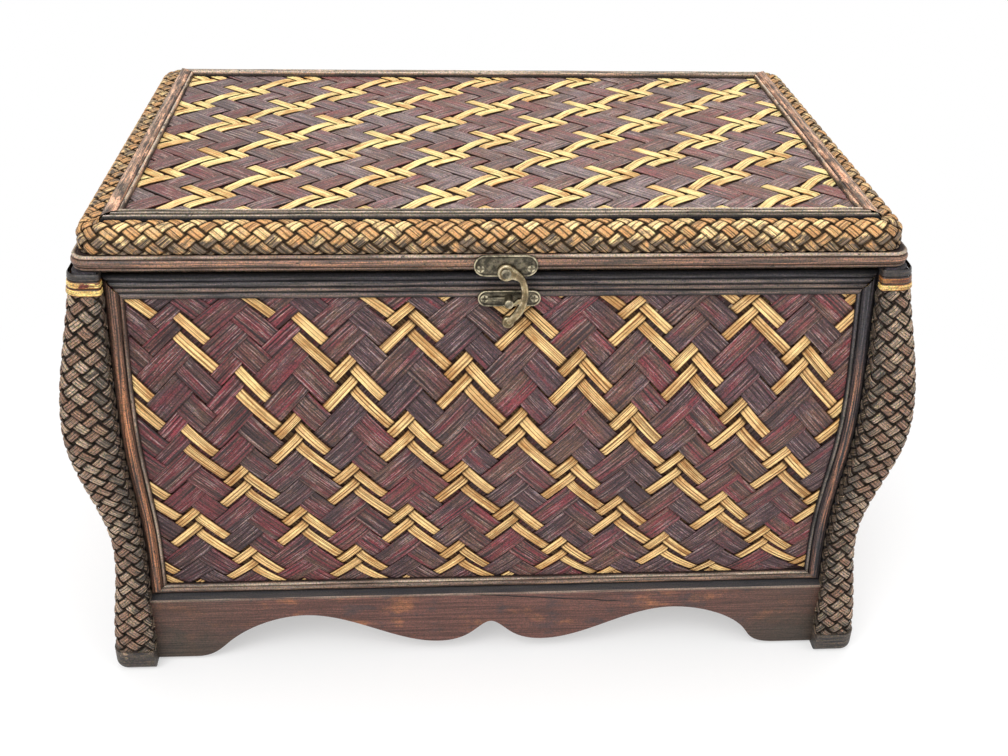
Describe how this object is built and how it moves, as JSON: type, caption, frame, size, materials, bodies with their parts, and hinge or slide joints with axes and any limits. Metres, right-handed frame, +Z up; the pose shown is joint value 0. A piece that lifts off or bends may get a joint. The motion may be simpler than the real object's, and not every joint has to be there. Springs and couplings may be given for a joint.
{
  "type": "wicker trunk",
  "caption": "Small wicker trunk with bulging woven walls, braided corner posts, a scalloped base, a hinged woven lid and a swing-hook latch.",
  "frame": {"origin": "on the ground under the middle of the trunk", "axes": "+Z up, +X along the trunk to its right seen from the front, -Y out of the front with the latch"},
  "size_m": [0.4598, 0.3048, 0.2845],
  "materials": {
    "woven_reed": "satin woven strips",
    "braid": "satin braided strips",
    "yellow_binding": "satin",
    "moulding": "worn varnish",
    "dark_rail": "worn varnish",
    "apron_wood": "worn varnish",
    "foot_binding": "worn varnish",
    "post_core": "matt",
    "inner_board": "matt",
    "antique_brass": "aged"
  },
  "bodies": {
    "trunk": {"front_board": "inner_board", "front_weave": "woven_reed", "front_top_rail": "dark_rail", "front_bottom_rail": "moulding", "front_apron": "apron_wood", "front_left_stile": "moulding", "front_right_stile": "moulding", "back_board": "inner_board", "back_weave": "woven_reed", "back_top_rail": "dark_rail", "back_bottom_rail": "moulding", "back_apron": "apron_wood", "back_left_stile": "moulding", "back_right_stile": "moulding", "left_board": "inner_board", "left_weave": "woven_reed", "left_top_rail": "dark_rail", "left_bottom_rail": "moulding", "left_apron": "apron_wood", "left_front_stile": "moulding", "left_back_stile": "moulding", "right_board": "inner_board", "right_weave": "woven_reed", "right_top_rail": "dark_rail", "right_bottom_rail": "moulding", "right_apron": "apron_wood", "right_front_stile": "moulding", "right_back_stile": "moulding", "front_left_post": "post_core", "front_left_post_braid": "braid", "front_left_foot_cap": "foot_binding", "front_right_post": "post_core", "front_right_post_braid": "braid", "front_right_foot_cap": "foot_binding", "back_left_post": "post_core", "back_left_post_braid": "braid", "back_left_foot_cap": "foot_binding", "back_right_post": "post_core", "back_right_post_braid": "braid", "back_right_foot_cap": "foot_binding", "post_bindings": "yellow_binding", "floor_board": "inner_board", "catch_plate": "antique_brass", "body_screws": "antique_brass", "hinge_body_leaves": "antique_brass", "hinge_pins": "antique_brass"},
    "lid": {"lid_screws": "antique_brass", "lid_frame": "inner_board", "lid_board": "inner_board", "lid_weave": "woven_reed", "lid_front_moulding": "moulding", "lid_back_moulding": "moulding", "lid_left_moulding": "moulding", "lid_right_moulding": "moulding", "lid_braid": "braid", "lid_rail": "dark_rail", "hinge_lid_leaves": "antique_brass", "latch_plate": "antique_brass", "latch_rivet": "antique_brass"},
    "hook": {"latch_hook": "antique_brass"}
  },
  "joints": [
    {"name": "lid_hinge", "type": "hinge", "parent": "trunk", "child": "lid", "pos_m": [0, 0.14, 0.25885], "axis": [-1, 0, 0], "range_deg": [0, 100]},
    {"name": "hook_swing", "type": "hinge", "parent": "lid", "child": "hook", "pos_m": [0.0034, -0.139, 0.2592], "axis": [0, -1, 0], "range_deg": [0, 100]}
  ]
}
